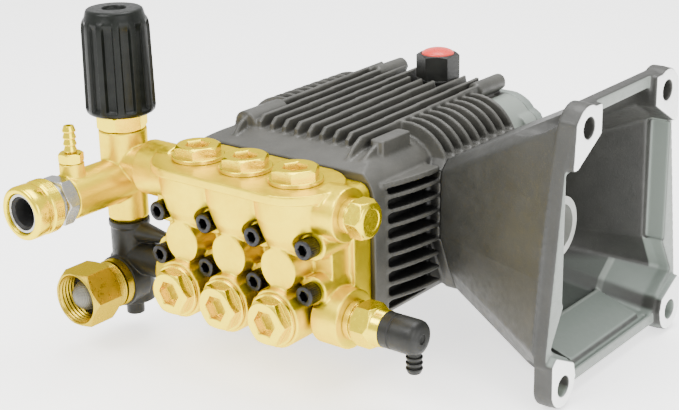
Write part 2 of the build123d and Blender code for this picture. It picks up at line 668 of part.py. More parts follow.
# ---- Thermal relief valve ----
with BuildPart() as relief_body:
    hexagon(x_plane(RELIEF_X + 4.4), (GALLERY_Y, INLET_Z), 21, 11.2)
    bar(x_plane(RELIEF_X), (GALLERY_Y, INLET_Z), 10.2, 20.6)
    bar(x_plane(RELIEF_X - 8), (GALLERY_Y, INLET_Z), 6, 8)
    bar(x_plane(ELBOW_X[0] - 0.3), (GALLERY_Y, INLET_Z), ELBOW_R + RUNNING_GAP, 8, mode=Mode.SUBTRACT)
    bar(x_plane(RELIEF_X - 8), (GALLERY_Y, INLET_Z), 2, 20, mode=Mode.SUBTRACT)
relief_body.part.label = "relief_body"
export_step(relief_body.part, "parts/relief_body.step")

with BuildPart() as relief_elbow:
    length = ELBOW_X[1] - ELBOW_X[0]
    barrel = [(0, 0), (ELBOW_R, 0), (ELBOW_R, length - 2.5), (ELBOW_R - 1.2, length - 0.8)]
    barrel += [(ELBOW_R - 3, length), (0, length)]
    turned((ELBOW_X[0], GALLERY_Y, INLET_Z), (1, 0, 0), barrel)
    barb((RELIEF_BARB_X, GALLERY_Y, INLET_Z), (0, 0, -1), 3.3, 4.3, 9.8, 3, 3.0, 1.8)
    bar(z_plane(INLET_Z), (RELIEF_BARB_X, GALLERY_Y), 1.8, -20, mode=Mode.SUBTRACT)
    bar(x_plane(ELBOW_X[0]), (GALLERY_Y, INLET_Z), 1.8, length - 5, mode=Mode.SUBTRACT)
relief_elbow.part.label = "relief_elbow"
export_step(relief_elbow.part, "parts/relief_elbow.step")


# ---- Crankshaft, connecting rods and plungers ----
with BuildPart() as crankshaft:
    bar(x_plane(ROOT_X - 0.2), (0, 0), SHAFT_R, -ROOT_X + 0.2)
    bar(x_plane(ROOT_X - 16.7), (0, 0), JOURNAL_R, 16.5)
    bar(x_plane(ROOT_X - 19), (0, 0), JOURNAL_R + 2, 2.3)
    bar(x_plane(FAR_FACE_X + 16.5), (0, 0), CORE_R, ROOT_X - 18 - FAR_FACE_X - 16.5)
    bar(x_plane(FAR_FACE_X + 2.5), (0, 0), END_JOURNAL_R, 15)
    for k, x in enumerate(CYLINDER_X):
        bar(x_plane(x - ROD_WIDTH / 2), crank_point(k, THROW / 2), ECCENTRIC_R, ROD_WIDTH)
    bar(x_plane(0), (0, 0), SHAFT_BORE_R, -SHAFT_BORE_DEPTH, mode=Mode.SUBTRACT)
    slab(x_plane(0), (0, KEYWAY_R / 2), KEY_WIDTH, KEYWAY_R, -SHAFT_BORE_DEPTH + 4, mode=Mode.SUBTRACT)
crankshaft.part.label = "crankshaft"
export_step(crankshaft.part, "parts/crankshaft.step")

for k, x in enumerate(CYLINDER_X):
    shift = stroke(k)
    number = k + 1
    near_side = x_plane(x - ROD_WIDTH / 2)

    # Second eccentric: it turns backwards inside the rod, so that the rod only slides
    with BuildPart() as rod_bush:
        bar(near_side, (shift, 0), BUSH_R, ROD_WIDTH)
        bar(near_side, crank_point(k, THROW / 2), ECCENTRIC_R + RUNNING_GAP, ROD_WIDTH, mode=Mode.SUBTRACT)
    rod_bush.part.label = f"rod_bush_{number}"
    export_step(rod_bush.part, f"parts/rod_bush_{number}.step")

    with BuildPart() as con_rod:
        bar(near_side, (shift, 0), ROD_EYE_R, ROD_WIDTH)
        bar(near_side, (WRIST_Y + shift, 0), 7.5, ROD_WIDTH)
        slab(near_side, (-40 + shift, 0), 38, 12, ROD_WIDTH)
        bar(near_side, (shift, 0), BUSH_R + RUNNING_GAP, ROD_WIDTH, mode=Mode.SUBTRACT)
        bar(near_side, (WRIST_Y + shift, 0), WRIST_R + RUNNING_GAP, ROD_WIDTH, mode=Mode.SUBTRACT)
    con_rod.part.label = f"con_rod_{number}"
    export_step(con_rod.part, f"parts/con_rod_{number}.step")

    with BuildPart() as crosshead:
        bar(y_plane(CROSSHEAD_Y[0] + shift), (x, 0), CROSSHEAD_R, CROSSHEAD_Y[0] - CROSSHEAD_Y[1])
        slab(y_plane(CROSSHEAD_Y[0] + shift), (x, 0), ROD_WIDTH + 0.6, 18, 19, mode=Mode.SUBTRACT)
        bar(x_plane(x - 14), (WRIST_Y + shift, 0), WRIST_R, 28, mode=Mode.SUBTRACT)
    crosshead.part.label = f"crosshead_{number}"
    export_step(crosshead.part, f"parts/crosshead_{number}.step")

    with BuildPart() as wrist_pin:
        bar(x_plane(x - 10.9), (WRIST_Y + shift, 0), WRIST_R, 21.8)
    wrist_pin.part.label = f"wrist_pin_{number}"
    export_step(wrist_pin.part, f"parts/wrist_pin_{number}.step")

    with BuildPart() as plunger:
        rod_length = CROSSHEAD_Y[1] - PLUNGER_TIP_Y
        nose = [(0, 0), (PLUNGER_R, 0), (PLUNGER_R, rod_length - 1.5), (PLUNGER_R - 1.5, rod_length)]
        turned((x, CROSSHEAD_Y[1] + shift, 0), (0, -1, 0), nose + [(0, rod_length)])
    plunger.part.label = f"plunger_{number}"
    export_step(plunger.part, f"parts/plunger_{number}.step")


# ---- Unloader valve ----
column = (UNLOADER_X, GALLERY_Y)

with BuildPart() as unloader_body:
    foot = [(0, -10), (SOCKET_R, -10), (SOCKET_R, -4), (11.2, -2), (11.2, 27.8), (13.2, 28.6)]
    turned((*column, 0), (0, 0, 1), foot + [(13.2, NUT_Z), (0, NUT_Z)])
    bar(y_plane(GALLERY_Y), (UNLOADER_X, OUTLET_TUBE_Z), 12.5, GALLERY_Y - OUTLET_TUBE_END_Y)
    bar(x_plane(UNLOADER_X), (GALLERY_Y, OUTLET_Z), NECK_R, UNLOADER_PORT_X - UNLOADER_X)
    bar(x_plane(UNLOADER_PORT_X), (GALLERY_Y, OUTLET_Z), 6.5, 8)
    bar(z_plane(OUTLET_TUBE_Z), (UNLOADER_X, INJECTOR_Y), 6.7, BARB_FOOT_Z - OUTLET_TUBE_Z)

    # Piston's guide and chamber, bypass seat, inlet from the manifold, outlet and injector
    bar(z_plane(6), column, 7.5, 30, mode=Mode.SUBTRACT)
    bar(z_plane(30), column, PISTON_R + RUNNING_GAP, 20, mode=Mode.SUBTRACT)
    bar(z_plane(-11), column, 4, 20, mode=Mode.SUBTRACT)
    bar(y_plane(GALLERY_Y), (UNLOADER_X, OUTLET_TUBE_Z), 7, 50, mode=Mode.SUBTRACT)
    bar(x_plane(UNLOADER_X), (GALLERY_Y, OUTLET_Z), 4.5, 30, mode=Mode.SUBTRACT)
    bar(z_plane(OUTLET_TUBE_Z), (UNLOADER_X, INJECTOR_Y), 3, 20, mode=Mode.SUBTRACT)
unloader_body.part.label = "unloader_body"
export_step(unloader_body.part, "parts/unloader_body.step")

with BuildPart() as unloader_piston:
    poppet_end = [(0, 0), (5.4, 0), (5.4, 4), (2.5, 5)]
    guide_end = [(2.5, 31), (PISTON_R, 32), (PISTON_R, 42), (8, 42), (8, 44), (0, 44)]
    turned((*column, 6), (0, 0, 1), poppet_end + guide_end)
unloader_piston.part.label = "unloader_piston"
export_step(unloader_piston.part, "parts/unloader_piston.step")

with BuildPart() as unloader_nut:
    hexagon(z_plane(NUT_Z), column, 24.5, KNOB_Z[0] - NUT_Z)
    bar(z_plane(KNOB_Z[0]), column, BONNET_R, BONNET_TOP_Z - KNOB_Z[0])
    bar(z_plane(NUT_Z), column, SEAT_R + RUNNING_GAP, 60, mode=Mode.SUBTRACT)
unloader_nut.part.label = "unloader_nut"
export_step(unloader_nut.part, "parts/unloader_nut.step")

with BuildPart() as unloader_spring:
    coil((*column, 0), (0, 0, 1), 6.4, 1.0, SPRING_Z[0] + 1.0, SPRING_Z[1] - SPRING_Z[0] - 2.0, 7)
unloader_spring.part.label = "unloader_spring"
export_step(unloader_spring.part, "parts/unloader_spring.step")

with BuildPart() as spring_seat:
    bar(z_plane(SPRING_Z[1]), column, SEAT_R, 5)
    bar(z_plane(SPRING_Z[1]), column, 4.6, -3)
spring_seat.part.label = "spring_seat"
export_step(spring_seat.part, "parts/spring_seat.step")

with BuildPart() as knob:
    post_z = SPRING_Z[1] + 5 - KNOB_Z[0]
    inside_z = BONNET_TOP_Z + 4 - KNOB_Z[0]
    thread_r = BONNET_R + RUNNING_GAP
    height = KNOB_Z[1] - KNOB_Z[0]
    inside = [(0, post_z), (5, post_z), (5, inside_z), (thread_r, inside_z), (thread_r, 5.5), (15.2, 5.5)]
    outside = [(15.2, 0), (17.4, 0), (KNOB_R, 2.5), (KNOB_R - 0.8, height - 5.5), (15.2, height), (0, height)]
    turned((*column, KNOB_Z[0]), (0, 0, 1), inside + outside)
    with BuildSketch(z_plane(KNOB_Z[0] + 3)):
        with Locations(column):
            with PolarLocations(KNOB_R + 2.3, 12, start_angle=2):
                Circle(4.5)
    extrude(amount=height - 12, mode=Mode.SUBTRACT)
    slab(z_plane(KNOB_Z[1]), column, 12, 2.4, -1.5, mode=Mode.SUBTRACT)
knob.part.label = "knob"
export_step(knob.part, "parts/knob.step")

with BuildPart() as injector_barb:
    hexagon(z_plane(BARB_FOOT_Z), (UNLOADER_X, INJECTOR_Y), 12, 5.6)
    bar(z_plane(BARB_FOOT_Z), (UNLOADER_X, INJECTOR_Y), 3, -7)
    barb((UNLOADER_X, INJECTOR_Y, BARB_FOOT_Z), (0, 0, 1), 2.7, 3.6, 5.8, 4, 3.6, 1.2)
    bar(z_plane(BARB_FOOT_Z - 7), (UNLOADER_X, INJECTOR_Y), 1.2, 40, mode=Mode.SUBTRACT)
injector_barb.part.label = "injector_barb"
export_step(injector_barb.part, "parts/injector_barb.step")


# ---- Quick coupler on the outlet ----
outlet = (UNLOADER_X, OUTLET_TUBE_Z)
ball_places = [polar(COUPLER_BALL_RING, 90 * k) for k in range(4)]

with BuildPart() as coupler_body:
    hexagon(y_plane(OUTLET_TUBE_END_Y), outlet, 24, 8.5)
    bar(y_plane(OUTLET_TUBE_END_Y), outlet, COUPLER_R, 29)
    bar(y_plane(OUTLET_TUBE_END_Y), outlet, 7, -8)
    bar(y_plane(OUTLET_TUBE_END_Y - 3), outlet, COUPLER_BORE_R, 30, mode=Mode.SUBTRACT)
    bar(y_plane(OUTLET_TUBE_END_Y + 8), outlet, 4, 20, mode=Mode.SUBTRACT)
    bar(x_plane(UNLOADER_X - 12), (BALL_Y, OUTLET_TUBE_Z), 1.65, 24, mode=Mode.SUBTRACT)
    bar(z_plane(OUTLET_TUBE_Z - 12), (UNLOADER_X, BALL_Y), 1.65, 24, mode=Mode.SUBTRACT)
coupler_body.part.label = "coupler_body"
export_step(coupler_body.part, "parts/coupler_body.step")

with BuildPart() as coupler_balls:
    with Locations(*[(UNLOADER_X + u, BALL_Y, OUTLET_TUBE_Z + v) for u, v in ball_places]):
        Sphere(1.6)
coupler_balls.part.label = "coupler_balls"
export_step(coupler_balls.part, "parts/coupler_balls.step")

with BuildPart() as coupler_sleeve:
    sleeve_bore = COUPLER_R + RUNNING_GAP
    grip = [(sleeve_bore, 12.5), (14.8, 12.5), (14.8, 18.5), (13.4, 19.5), (13.4, 21.3), (14.5, 22.3)]
    front = [(14.5, 29.2), (13.2, 30.5), (11.6, 30.5), (sleeve_bore, 29.7)]
    turned((UNLOADER_X, OUTLET_TUBE_END_Y, OUTLET_TUBE_Z), (0, -1, 0), grip + front)
coupler_sleeve.part.label = "coupler_sleeve"
export_step(coupler_sleeve.part, "parts/coupler_sleeve.step")


# ---- Inlet tee, hose nut and filter ----
inlet = (UNLOADER_X, INLET_ARM_Z)

with BuildPart() as inlet_tee:
    bar(z_plane(-26), column, 10.7, 22)
    bar(z_plane(-7.5), column, 11.5, 3.5)
    bar(z_plane(-52), column, 11.9, 26.5)
    bar(z_plane(-61), column, 5.1, 9.5)
    bar(y_plane(GALLERY_Y), inlet, 14.5, GALLERY_Y - TEE_FACE_Y)
    bar(x_plane(UNLOADER_X), (GALLERY_Y, INLET_Z), 9.5, TEE_PORT_X - UNLOADER_X)
    bar(x_plane(TEE_PORT_X), (GALLERY_Y, INLET_Z), 6, 8)
    turned((UNLOADER_X + 9, GALLERY_Y, -10.4), (1, 0, 0), [(0, 0), (6.2, 0), (2.8, 20), (0, 20)])

    # Socket for the unloader's foot, and the water's ways through
    bar(z_plane(-10), column, SOCKET_R, 8, mode=Mode.SUBTRACT)
    bar(z_plane(-46), column, 7, 40, mode=Mode.SUBTRACT)
    bar(y_plane(GALLERY_Y), inlet, 9, 20, mode=Mode.SUBTRACT)
    bar(x_plane(UNLOADER_X), (GALLERY_Y, INLET_Z), 4.2, 45, mode=Mode.SUBTRACT)
inlet_tee.part.label = "inlet_tee"
export_step(inlet_tee.part, "parts/inlet_tee.step")

with BuildPart() as inlet_nipple:
    spigot = [(6.5, -9), (9, -9), (9, 0), (13.5, 0), (13.5, 4.5), (NIPPLE_R, 4.5)]
    lip = [(NIPPLE_R, 13), (12.2, 13), (12.2, 16), (6.5, 16)]
    turned((UNLOADER_X, TEE_FACE_Y, INLET_ARM_Z), (0, -1, 0), spigot + lip)
inlet_nipple.part.label = "inlet_nipple"
export_step(inlet_nipple.part, "parts/inlet_nipple.step")

with BuildPart() as inlet_filter:
    rim = [(6.3, 16), (10, 16), (10, 18.6), (8.4, 18.6)]
    dome_outside = [(8.4, 22.6), (7.6, 26.2), (5.6, 29), (2.9, 30.5), (0, 31)]
    dome_inside = [(0, 30.2), (2.6, 29.7), (5, 28.3), (6.8, 25.8), (7.6, 22.4), (6.9, 18.6)]
    turned((UNLOADER_X, TEE_FACE_Y, INLET_ARM_Z), (0, -1, 0), rim + dome_outside + dome_inside)
inlet_filter.part.label = "inlet_filter"
export_step(inlet_filter.part, "parts/inlet_filter.step")

with BuildPart() as swivel_nut:
    bar(y_plane(NUT_REAR_Y), inlet, 13.4, 8)
    hexagon(y_plane(NUT_REAR_Y - 6.6), inlet, 30, 14.9)
    bar(y_plane(NUT_FRONT_Y + 6), inlet, 16.2, 6)
    bar(y_plane(NUT_REAR_Y), inlet, NIPPLE_R + RUNNING_GAP, 30, mode=Mode.SUBTRACT)
    bar(y_plane(NUT_REAR_Y - 7.7), inlet, HOSE_THREAD_R, 30, mode=Mode.SUBTRACT)
swivel_nut.part.label = "swivel_nut"
export_step(swivel_nut.part, "parts/swivel_nut.step")


# ---- Oil filler cap ----
filler = (OIL_CAP_X, OIL_CAP_Y)

with BuildPart() as oil_cap_seal:
    turned((*filler, CASE_TOP_Z + 4), (0, 0, 1), [(8.4, 0), (11.5, 0), (11.5, 1.5), (8.4, 1.5)])
oil_cap_seal.part.label = "oil_cap_seal"
export_step(oil_cap_seal.part, "parts/oil_cap_seal.step")

with BuildPart() as oil_cap:
    bar(z_plane(CASE_TOP_Z + 5.5), filler, 12.5, 1.8)
    hexagon(z_plane(CASE_TOP_Z + 7), filler, 22, 14.5)
    bar(z_plane(CASE_TOP_Z + 5.5), filler, 8 - RUNNING_GAP, -9)
    bar(z_plane(CASE_TOP_Z + 21.5), filler, 9.6, -1.5, mode=Mode.SUBTRACT)
oil_cap.part.label = "oil_cap"
export_step(oil_cap.part, "parts/oil_cap.step")

with BuildPart() as oil_cap_top:
    button = [(0, 0), (9.5, 0), (9.5, 2.2), (7.5, 3.4), (4, 4.2), (0, 4.5)]
    turned((*filler, CASE_TOP_Z + 20), (0, 0, 1), button)
oil_cap_top.part.label = "oil_cap_top"
export_step(oil_cap_top.part, "parts/oil_cap_top.step")
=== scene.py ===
import bmesh
import bpy
import json
import math
from mathutils import Matrix, Vector


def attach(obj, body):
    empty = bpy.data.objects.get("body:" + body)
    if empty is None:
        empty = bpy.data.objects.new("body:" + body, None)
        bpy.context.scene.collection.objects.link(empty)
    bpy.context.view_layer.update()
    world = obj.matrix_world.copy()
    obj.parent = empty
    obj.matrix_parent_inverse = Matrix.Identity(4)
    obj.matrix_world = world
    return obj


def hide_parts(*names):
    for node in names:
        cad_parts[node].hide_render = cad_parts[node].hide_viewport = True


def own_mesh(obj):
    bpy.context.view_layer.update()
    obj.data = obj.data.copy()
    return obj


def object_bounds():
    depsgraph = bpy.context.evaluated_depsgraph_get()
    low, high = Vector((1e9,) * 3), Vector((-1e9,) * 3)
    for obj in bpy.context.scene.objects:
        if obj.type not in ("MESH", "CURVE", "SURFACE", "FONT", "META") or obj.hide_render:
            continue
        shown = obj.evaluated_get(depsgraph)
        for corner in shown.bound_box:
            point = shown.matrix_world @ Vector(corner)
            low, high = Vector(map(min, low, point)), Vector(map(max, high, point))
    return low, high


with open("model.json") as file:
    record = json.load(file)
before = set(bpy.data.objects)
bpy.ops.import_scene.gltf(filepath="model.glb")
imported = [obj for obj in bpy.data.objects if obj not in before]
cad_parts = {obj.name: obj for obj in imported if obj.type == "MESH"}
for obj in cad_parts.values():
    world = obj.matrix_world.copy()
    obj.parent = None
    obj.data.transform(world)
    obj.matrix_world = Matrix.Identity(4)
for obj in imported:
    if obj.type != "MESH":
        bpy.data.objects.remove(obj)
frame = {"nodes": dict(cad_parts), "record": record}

cad_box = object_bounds()
nodes = frame["nodes"]
MM = 0.001
WELD = 0.000002
TAU = 2 * math.pi

# ---- Places on the pump, in millimetres ----
PITCH = 33.0
MIDDLE_X = -118.2
CYLINDER_X = [MIDDLE_X + PITCH * k for k in (1, 0, -1)]
SCREW_X = [MIDDLE_X + PITCH * (k - 1.5) for k in range(4)]
SCREW_Z = (13.6, -10.7)
SCREW_SEAT_Y = -123.3
VALVE_Y = -114.5
GALLERY_Y = -112.0
PLUG_X = -54.0
RELIEF_X = -52.0
ELBOW_X = -36.0
BARB_X = -15.5
OUTLET_Z = 29.5
INLET_Z = -25.4
DECK_Z = 42.0
BOSS_Y = -135.1
COLUMN_X = -209.5
LOCK_NUT_Z = 48.0
KNOB_Z = 57.5
TUBE_Z = 20.2
TUBE_END_Y = -157.0
ARM_Z = -38.5
HOSE_NUT_Y = -129.0
NIPPLE_Y = -124.0
INJECTOR_Y = -150.2
INJECTOR_Z = 38.4
CAP_X = -114.2
CAP_Y = 52.0
CAP_Z = 52.5
BUTTON_Z = 67.0
RIGHT = (1, 0, 0)
FRONT = (0, -1, 0)
UP = (0, 0, 1)
DOWN = (0, 0, -1)

# ---- Colours that several materials share ----
CASE_DARK = (0.036, 0.0355, 0.030)
CASE_LIGHT = (0.054, 0.0525, 0.045)
BRASS_EDGE = (1.0, 0.84, 0.30, 1)


# ---- Materials ----
class Surface:
    """A principled material that is put together from procedural nodes in object space."""

    def __init__(self, name, metallic=0.0, roughness=0.5):
        self.material = bpy.data.materials.new(name)
        self.material.use_nodes = True
        self.tree = self.material.node_tree
        self.tree.nodes.clear()
        output = self.node("ShaderNodeOutputMaterial")
        self.shader = self.node("ShaderNodeBsdfPrincipled")
        self.link(self.shader.outputs[0], output.inputs[0])
        self.shader.inputs["Metallic"].default_value = metallic
        self.shader.inputs["Roughness"].default_value = roughness
        self.place = self.node("ShaderNodeTexCoord").outputs["Object"]
        self.height = None

    def node(self, kind):
        return self.tree.nodes.new(kind)

    def link(self, source, target):
        self.tree.links.new(source, target)

    def noise(self, scale, detail=4.0, stretch=None):
        """Noise whose scale is in features per metre."""
        texture = self.node("ShaderNodeTexNoise")
        texture.inputs["Scale"].default_value = scale
        texture.inputs["Detail"].default_value = detail
        source = self.place
        if stretch:
            squeeze = self.node("ShaderNodeMapping")
            squeeze.inputs["Scale"].default_value = stretch
            self.link(source, squeeze.inputs["Vector"])
            source = squeeze.outputs[0]
        self.link(source, texture.inputs["Vector"])
        return texture.outputs["Fac"]

    def cells(self, scale):
        """Distance from the middle of each cell, with the scale in cells per metre."""
        texture = self.node("ShaderNodeTexVoronoi")
        texture.inputs["Scale"].default_value = scale
        self.link(self.place, texture.inputs["Vector"])
        return texture.outputs["Distance"]

    def ramp(self, value, low, high, start=0.0, end=1.0):
        """Carries value from the range low to high over to start to end."""
        spread = self.node("ShaderNodeMapRange")
        spread.inputs["From Min"].default_value = low
        spread.inputs["From Max"].default_value = high
        spread.inputs["To Min"].default_value = start
        spread.inputs["To Max"].default_value = end
        self.link(value, spread.inputs["Value"])
        return spread.outputs[0]

    def maths(self, operation, first, second):
        sum_node = self.node("ShaderNodeMath")
        sum_node.operation = operation
        for socket, value in zip(sum_node.inputs, (first, second)):
            if isinstance(value, (int, float)):
                socket.default_value = value
            else:
                self.link(value, socket)
        return sum_node.outputs[0]

    def mix(self, factor, first, second):
        """A colour between two, each a socket or a plain colour."""
        blend = self.node("ShaderNodeMix")
        blend.data_type = "RGBA"
        self.link(factor, blend.inputs[0])
        for socket, value in ((blend.inputs[6], first), (blend.inputs[7], second)):
            if isinstance(value, tuple):
                socket.default_value = (*value, 1)
            else:
                self.link(value, socket)
        return blend.outputs[2]

    def colour(self, value):
        self.link(value, self.shader.inputs["Base Color"])

    def roughness(self, value):
        self.link(value, self.shader.inputs["Roughness"])

    def relief(self, value, depth):
        """Adds a height to the surface: depth is in metres."""
        part = self.maths("MULTIPLY", value, depth)
        self.height = part if self.height is None else self.maths("ADD", self.height, part)

    def done(self):
        """The material, with its relief joined on."""
        if self.height is not None:
            bump = self.node("ShaderNodeBump")
            bump.inputs["Strength"].default_value = 1.0
            bump.inputs["Distance"].default_value = 1.0
            self.link(self.height, bump.inputs["Height"])
            self.link(bump.outputs[0], self.shader.inputs["Normal"])
        return self.material

    def facing(self, axis, low=0.7, high=0.9):
        """1 where the surface faces along an axis (0 X, 1 Y, 2 Z), and 0 elsewhere."""
        split = self.node("ShaderNodeSeparateXYZ")
        self.link(self.node("ShaderNodeTexCoord").outputs["Normal"], split.inputs[0])
        return self.ramp(split.outputs[axis], low, high)

    def along(self, axis, low, high):
        """Runs from 0 to 1 between two places along an axis, in metres."""
        split = self.node("ShaderNodeSeparateXYZ")
        self.link(self.place, split.inputs[0])
        return self.ramp(split.outputs[axis], low, high)

    def occlusion_shade(self, distance):
        """Ambient occlusion for painting shade into colours: 1 in the open and less in corners, within a
        distance in metres.
        """
        shade = self.node("ShaderNodeAmbientOcclusion")
        shade.samples = 6
        shade.inputs["Distance"].default_value = distance
        return shade.outputs["AO"]


def casting(name, dark, light, roughness=0.48):
    """Die-cast alloy under satin paint: fine grain, soft mottling, and painted shade that darkens its
    corners and, further, its hollows.
    """
    s = Surface(name, roughness=roughness)
    mottle = s.ramp(s.noise(55, 5), 0.35, 0.65)
    base = s.mix(mottle, dark, light)
    speck = s.ramp(s.noise(900, 2), 0.60, 0.72)
    base = s.mix(s.maths("MULTIPLY", speck, 0.35), base, tuple(1.5 * c for c in light))
    # painted shade: the paint darkens to half its dark tone in tight corners
    base = s.mix(s.ramp(s.occlusion_shade(0.004), 0.15, 0.8), tuple(0.5 * c for c in dark), base)
    # painted shade: deep hollows go nearly black
    depth = s.ramp(s.occlusion_shade(0.014), 0.05, 0.34)
    base = s.mix(depth, tuple(0.14 * c for c in dark), base)
    s.roughness(s.ramp(s.noise(240, 4), 0.3, 0.7, roughness - 0.07, roughness + 0.09))
    s.relief(s.noise(1100, 3), 0.00006)
    s.relief(s.noise(260, 3), 0.00008)
    return s, base


def plain_casting(name, dark, light, roughness=0.48):
    """A painted casting with nothing else on it."""
    s, base = casting(name, dark, light, roughness)
    s.colour(base)
    return s.done()


def bell_casting():
    """The same paint, with milled rim and lug faces, a paler bare floor inside, and a painted highlight
    along the ridge of the floor plate.
    """
    s, base = casting("bell paint", (0.021, 0.0213, 0.0185), (0.029, 0.029, 0.0255))
    inside = s.maths("MULTIPLY", s.facing(2, 0.3, 0.8), s.along(2, -0.030, -0.034))
    plate = s.along(0, 0.0040, 0.0048)
    base = s.mix(inside, base, s.mix(plate, (0.075, 0.086, 0.076), (0.175, 0.205, 0.182)))
    # painted highlight: a pale strip along the ridge at the edge of the raised floor plate
    ridge_highlight = s.maths("MULTIPLY", s.along(0, 0.0022, 0.0030), s.along(0, 0.0062, 0.0054))
    base = s.mix(s.maths("MULTIPLY", inside, ridge_highlight), base, (0.27, 0.30, 0.27))
    band = s.maths("MULTIPLY", s.along(0, 0.0215, 0.0225), s.along(1, 0.048, 0.0500))
    wall = s.facing(1, -0.6, -0.85)
    base = s.mix(s.maths("MULTIPLY", band, wall), base, (0.185, 0.215, 0.19))
    front = s.facing(0)
    rim = s.maths("MULTIPLY", front, s.along(0, 0.0322, 0.0328))
    lines = s.ramp(s.noise(900, 2, (0.2, 0.2, 6.0)), 0.3, 0.7)
    rim_colour = s.mix(lines, (0.150, 0.170, 0.150), (0.20, 0.22, 0.20))
    base = s.mix(rim, base, rim_colour)
    lug = s.maths("MULTIPLY", front, s.along(0, 0.0360, 0.0366))
    lug_colour = s.mix(lines, (0.90, 0.91, 0.89), (0.96, 0.97, 0.95))
    base = s.mix(lug, base, lug_colour)
    s.colour(base)
    s.relief(s.maths("MULTIPLY", lines, rim), 0.00002)
    return s.done()


def case_casting():
    """The case's paint stops at the rear shoulder, and painted shade turns the gaps between its side fins
    nearly black, below about 37 mm.
    """
    s, base = casting("crankcase paint", CASE_DARK, CASE_LIGHT)
    rear = s.maths("MULTIPLY", s.along(1, 0.0368, 0.0376), s.along(0, -0.0765, -0.0755))
    base = s.mix(s.maths("MULTIPLY", rear, s.along(2, 0.0500, 0.0490)), base, (0.19, 0.215, 0.19))
    # painted shade: near black where ambient occlusion finds the fin gaps, below about 37 mm
    fin_gap_shade = s.maths("MAXIMUM", s.ramp(s.occlusion_shade(0.012), 0.36, 0.86), s.along(2, 0.0365, 0.0385))
    base = s.mix(fin_gap_shade, (0.002, 0.002, 0.0018), base)
    s.colour(base)
    return s.done()


def cast_brass():
    """Tumbled cast brass: soft grain, painted shade of darker, deeper yellow in the corners, and pale open
    faces.
    """
    s = Surface("cast brass", metallic=0.94, roughness=0.33)
    s.shader.inputs["Specular Tint"].default_value = BRASS_EDGE
    base = s.mix(s.ramp(s.noise(70, 5), 0.3, 0.7), (0.86, 0.62, 0.0), (0.95, 0.73, 0.010))
    # painted shade: darker brass in corners, from ambient occlusion
    base = s.mix(s.ramp(s.occlusion_shade(0.007), 0.1, 0.85), (0.48, 0.385, 0.0), base)
    s.colour(base)
    s.roughness(s.ramp(s.noise(420, 4), 0.3, 0.7, 0.30, 0.44))
    s.relief(s.noise(1300, 3), 0.000009)
    s.relief(s.noise(330, 3), 0.000025)
    return s.done()


def turned_brass(name, dark, light, corner, roughness=0.22):
    """Machined brass with fine tool marks, and painted shade of deeper yellow in its corners; corner is the
    colour of that painted shade.
    """
    s = Surface(name, metallic=0.93, roughness=roughness)
    s.shader.inputs["Specular Tint"].default_value = BRASS_EDGE
    marks = s.noise(1300, 2, (1.0, 1.0, 9.0))
    base = s.mix(s.ramp(marks, 0.3, 0.7), dark, light)
    # painted shade: the corner colour in corners, from ambient occlusion
    base = s.mix(s.ramp(s.occlusion_shade(0.006), 0.1, 0.8), corner, base)
    s.colour(base)
    s.roughness(s.ramp(s.noise(500, 3), 0.3, 0.7, roughness - 0.05, roughness + 0.07))
    s.relief(marks, 0.000006)
    return s.done()


def moulded(name, dark, light, roughness, grain=0.00002, gloss=0.28):
    """Moulded plastic or rubber with a fine moulded skin."""
    s = Surface(name, roughness=roughness)
    s.shader.inputs["Specular IOR Level"].default_value = gloss
    s.colour(s.mix(s.ramp(s.noise(160, 4), 0.35, 0.65), dark, light))
    s.roughness(s.ramp(s.noise(600, 3), 0.3, 0.7, roughness - 0.06, roughness + 0.08))
    s.relief(s.noise(1800, 2), grain)
    s.relief(s.noise(200, 2), grain * 2)
    return s.done()


def worked_steel(name, dark, light, roughness):
    """Ground, bright or blackened steel, or bronze, with light tool marks."""
    s = Surface(name, metallic=1.0, roughness=roughness)
    marks = s.noise(420, 2, (1.0, 1.0, 8.0))
    s.colour(s.mix(s.ramp(marks, 0.2, 0.8), dark, light))
    s.roughness(s.ramp(s.noise(380, 4), 0.3, 0.7, roughness - 0.06, roughness + 0.08))
    s.relief(marks, 0.0000015)
    return s.done()


def plain_steel(name, dark, light):
    """Oiled bare steel, too dull for sharp reflections."""
    s = Surface(name, metallic=0.55, roughness=0.5)
    s.colour(s.mix(s.ramp(s.noise(60, 3), 0.3, 0.7), dark, light))
    s.roughness(s.ramp(s.noise(90, 3), 0.3, 0.7, 0.44, 0.56))
    s.relief(s.noise(240, 2), 0.000001)
    return s.done()


def zinc_plate():
    """Zinc plating: a faint spangle on steel."""
    s = Surface("zinc plate", metallic=1.0, roughness=0.24)
    spangle = s.cells(420)
    s.colour(s.mix(spangle, (0.46, 0.46, 0.44), (0.36, 0.36, 0.35)))
    s.roughness(s.ramp(spangle, 0.0, 0.8, 0.2, 0.32))
    s.relief(s.noise(1500, 2), 0.000006)
    return s.done()


def woven_steel():
    """Fine woven strainer mesh, as crossed waves of wire."""
    s = Surface("strainer mesh", metallic=0.7, roughness=0.45)
    crossings = None
    for axis in ("X", "Z"):
        wave = s.node("ShaderNodeTexWave")
        wave.bands_direction = axis
        wave.inputs["Scale"].default_value = 420
        s.link(s.place, wave.inputs["Vector"])
        height = wave.outputs["Fac"]
        crossings = height if crossings is None else s.maths("MAXIMUM", crossings, height)
    s.colour(s.mix(crossings, (0.035, 0.034, 0.028), (0.20, 0.195, 0.165)))
    s.relief(crossings, 0.00008)
    return s.done()


def clear_glass():
    """The oil level glass, with oil behind it."""
    s = Surface("sight glass", roughness=0.05)
    s.colour(s.mix(s.noise(90, 2), (0.80, 0.74, 0.55), (0.86, 0.82, 0.66)))
    s.shader.inputs["Transmission Weight"].default_value = 0.85
    s.shader.inputs["IOR"].default_value = 1.5
    return s.done()


